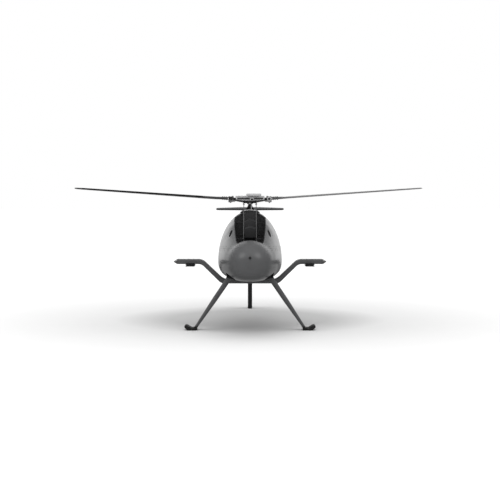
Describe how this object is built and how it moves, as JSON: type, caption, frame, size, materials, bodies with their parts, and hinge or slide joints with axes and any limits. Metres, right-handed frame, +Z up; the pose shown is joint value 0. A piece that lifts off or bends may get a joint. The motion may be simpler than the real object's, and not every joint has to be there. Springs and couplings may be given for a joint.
{
  "type": "unmanned helicopter",
  "caption": "Unmanned helicopter with a teardrop body, open front air intake, two-blade main rotor, T-tail with ventral fin, bent side arms and splayed landing legs.",
  "frame": {"origin": "centre of the bounding box, on the floor that the feet and the tail shoe stand on", "axes": "+X to the aircraft's port side along the parked rotor, +Y aft so that the nose points to -Y, +Z up"},
  "size_m": [3.39, 3.11, 1.3608],
  "materials": {
    "body_paint": "satin grey paint over composite",
    "dark_composite": "dark grey composite",
    "black_plastic": "matt black",
    "black_rubber": "matt black rubber",
    "bare_metal": "machined",
    "strut_paint": "satin dark grey paint"
  },
  "bodies": {
    "airframe": {"nose_cap": "body_paint", "lower_hull": "body_paint", "upper_cowl": "body_paint", "tail_boom": "body_paint", "mast_collar": "body_paint", "bulkhead_front": "bare_metal", "bulkhead_rear": "bare_metal", "engine_block": "bare_metal", "main_gearbox": "bare_metal", "throat_tray": "black_plastic", "intake_shroud": "black_plastic", "intake_mesh_starboard": "black_plastic", "intake_mesh_port": "black_plastic", "servo_starboard": "black_plastic", "servo_port": "black_plastic", "control_rod_starboard": "bare_metal", "control_rod_port": "bare_metal", "mast_boot": "black_rubber", "swashplate_fixed": "black_plastic", "upper_fin": "body_paint", "tailplane": "body_paint", "ventral_fin": "body_paint", "tail_shoe": "black_rubber", "tail_gearbox": "bare_metal", "hardpoint_beam": "strut_paint", "hardpoint_rail_starboard": "black_plastic", "hardpoint_rail_port": "black_plastic", "landing_leg_starboard": "strut_paint", "landing_leg_port": "strut_paint", "leg_bracket_starboard": "black_plastic", "leg_bracket_port": "black_plastic", "foot_starboard": "black_rubber", "foot_port": "black_rubber", "pitot_probe": "black_plastic", "exhaust_pipe": "bare_metal"},
    "main_rotor": {"main_mast": "bare_metal", "swashplate_rotating": "black_plastic", "hub_yoke": "bare_metal", "teeter_pin": "bare_metal", "hub_cap": "bare_metal", "blade_grip_starboard": "bare_metal", "blade_grip_port": "bare_metal", "pitch_link_starboard": "bare_metal", "pitch_link_port": "bare_metal", "main_blade_starboard": "dark_composite", "main_blade_port": "dark_composite"},
    "tail_rotor": {"tail_rotor_hub": "bare_metal", "tail_blade_upper": "dark_composite", "tail_blade_lower": "dark_composite"}
  },
  "joints": [
    {"name": "main_rotor_spin", "type": "hinge", "parent": "airframe", "child": "main_rotor", "pos_m": [0, -0.48, 1.2392], "axis": [0, 0, 1], "continuous": true},
    {"name": "tail_rotor_spin", "type": "hinge", "parent": "airframe", "child": "tail_rotor", "pos_m": [0.108, 1.225, 0.785], "axis": [1, 0, 0], "continuous": true}
  ],
  "couplings": [
    {"joint": "tail_rotor_spin", "follows": "main_rotor_spin", "ratio": 5}
  ]
}
